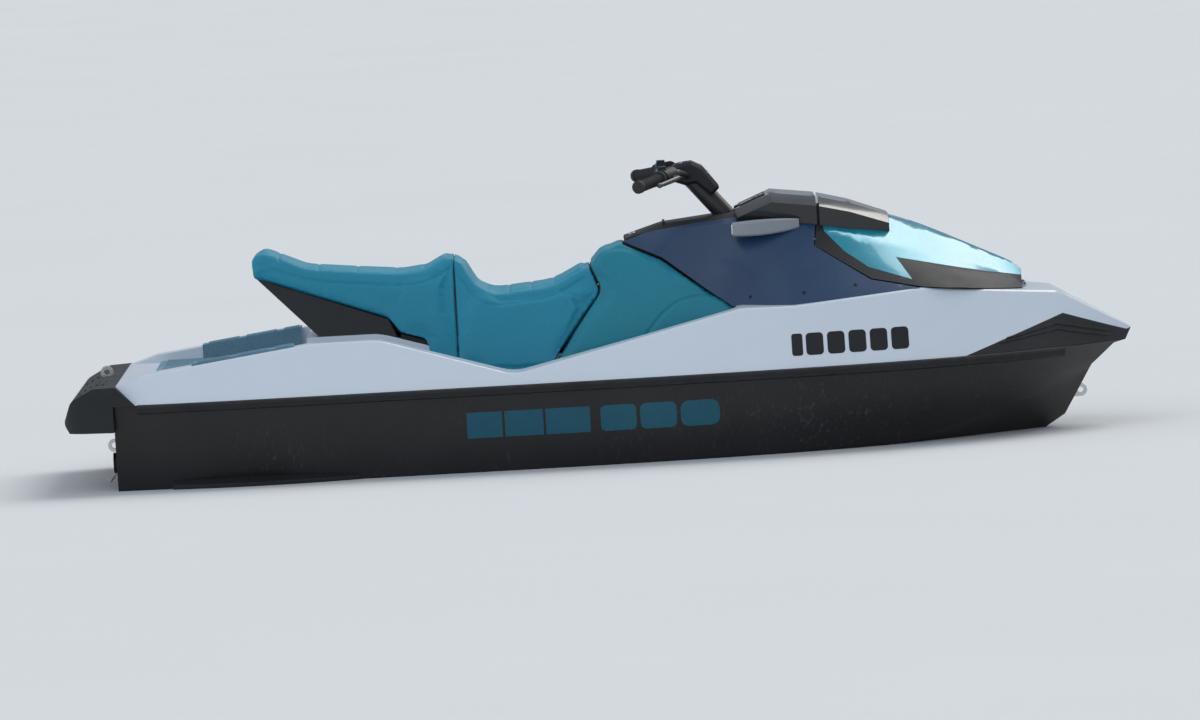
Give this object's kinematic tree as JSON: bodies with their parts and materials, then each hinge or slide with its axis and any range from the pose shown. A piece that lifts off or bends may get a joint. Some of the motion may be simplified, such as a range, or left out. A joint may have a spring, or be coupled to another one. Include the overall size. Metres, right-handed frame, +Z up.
{
  "type": "personal watercraft",
  "caption": "sit-down jet-drive watercraft with stepped two-part seat, raked handlebar, opening front hood, low black hull and pale deck",
  "frame": {"origin": "amidships on the centreline, on the still waterline of the empty craft", "axes": "+X forward to the bow, +Y to port, +Z up; the craft is symmetric about y = 0 apart from small fittings"},
  "size_m": [3.3152, 1.25, 1.1417],
  "materials": {
    "hull_black": "gloss gel coat",
    "deck_white": "gloss gel coat",
    "bumper_black": "matte moulded",
    "rail_black": "matte extrusion",
    "mat_blue": "ribbed foam",
    "fairing_slate": "satin",
    "trim_black": "satin",
    "hood_teal": "metallic gloss",
    "visor_black": "gloss",
    "seat_teal": "marine vinyl",
    "seat_green": "marine vinyl",
    "bin_grey": "matte",
    "bar_metal": "powder coat",
    "grip_black": "ribbed",
    "lever_metal": "anodised",
    "mirror_grey": "satin",
    "glass": "mirror",
    "screen": "gloss",
    "pump_metal": "cast, satin",
    "steel": "brushed",
    "eye_steel": "polished",
    "engine_grey": "cast"
  },
  "bodies": {
    "craft": {"hull": "hull_black", "strakes": "hull_black", "deck": "deck_white", "footwell_tubs": "deck_white", "gunwale_rail": "rail_black", "bow_bumper": "bumper_black", "stern_bumper": "bumper_black", "footwell_mats": "mat_blue", "platform_mat": "mat_blue", "side_fairings": "fairing_slate", "console": "trim_black", "storage_bin": "bin_grey", "gauge_pod": "visor_black", "gauge_display": "screen", "mirrors": "mirror_grey", "mirror_glasses": "glass", "seat_nose": "seat_green", "seat_support": "trim_black", "sponsons": "bumper_black", "ride_plate": "pump_metal", "intake_grate": "pump_metal", "pump_housing": "pump_metal", "exhaust_outlet": "trim_black", "drain_plugs": "trim_black", "fuel_cap": "trim_black", "tie_eyes": "eye_steel", "engine_block": "engine_grey"},
    "steering": {"handlebar": "bar_metal", "grips": "grip_black", "handlebar_pad": "trim_black", "control_pods": "trim_black", "levers": "lever_metal", "steering_column": "bar_metal"},
    "glovebox": {"glovebox_lid": "trim_black"},
    "hood": {"hood_cover": "hood_teal", "hood_trim": "trim_black", "hood_visor": "visor_black"},
    "seat": {"seat_driver": "seat_teal", "seat_passenger": "seat_teal", "seat_pan": "trim_black"},
    "rotor": {"impeller": "steel", "drive_shaft": "steel"},
    "nozzle": {"steering_nozzle": "pump_metal"},
    "gate": {"reverse_gate": "pump_metal"}
  },
  "joints": [
    {"name": "steering_turn", "type": "hinge", "parent": "craft", "child": "steering", "pos_m": [0.432, 0, 0.702], "axis": [-0.6428, 0, 0.766], "range_deg": [-30, 30]},
    {"name": "nozzle_turn", "type": "hinge", "parent": "craft", "child": "nozzle", "pos_m": [-1.44, 0, -0.115], "axis": [0, 0, 1], "range_deg": [-18, 18]},
    {"name": "gate_drop", "type": "hinge", "parent": "craft", "child": "gate", "pos_m": [-1.385, 0, -0.115], "axis": [0, -1, 0], "range_deg": [0, 50]},
    {"name": "rotor_spin", "type": "hinge", "parent": "craft", "child": "rotor", "pos_m": [-1.285, 0, -0.115], "axis": [1, 0, 0], "continuous": true},
    {"name": "hood_hinge", "type": "hinge", "parent": "craft", "child": "hood", "pos_m": [1.335, 0, 0.455], "axis": [0, 1, 0], "range_deg": [0, 60]},
    {"name": "glovebox_hinge", "type": "hinge", "parent": "craft", "child": "glovebox", "pos_m": [0.222, 0, 0.708], "axis": [0, 1, 0], "range_deg": [0, 75]},
    {"name": "seat_lift", "type": "slide", "parent": "craft", "child": "seat", "axis": [-0.5, 0, 0.866], "range_m": [0, 0.3]}
  ],
  "couplings": [
    {"joint": "nozzle_turn", "follows": "steering_turn", "ratio": -0.6}
  ]
}
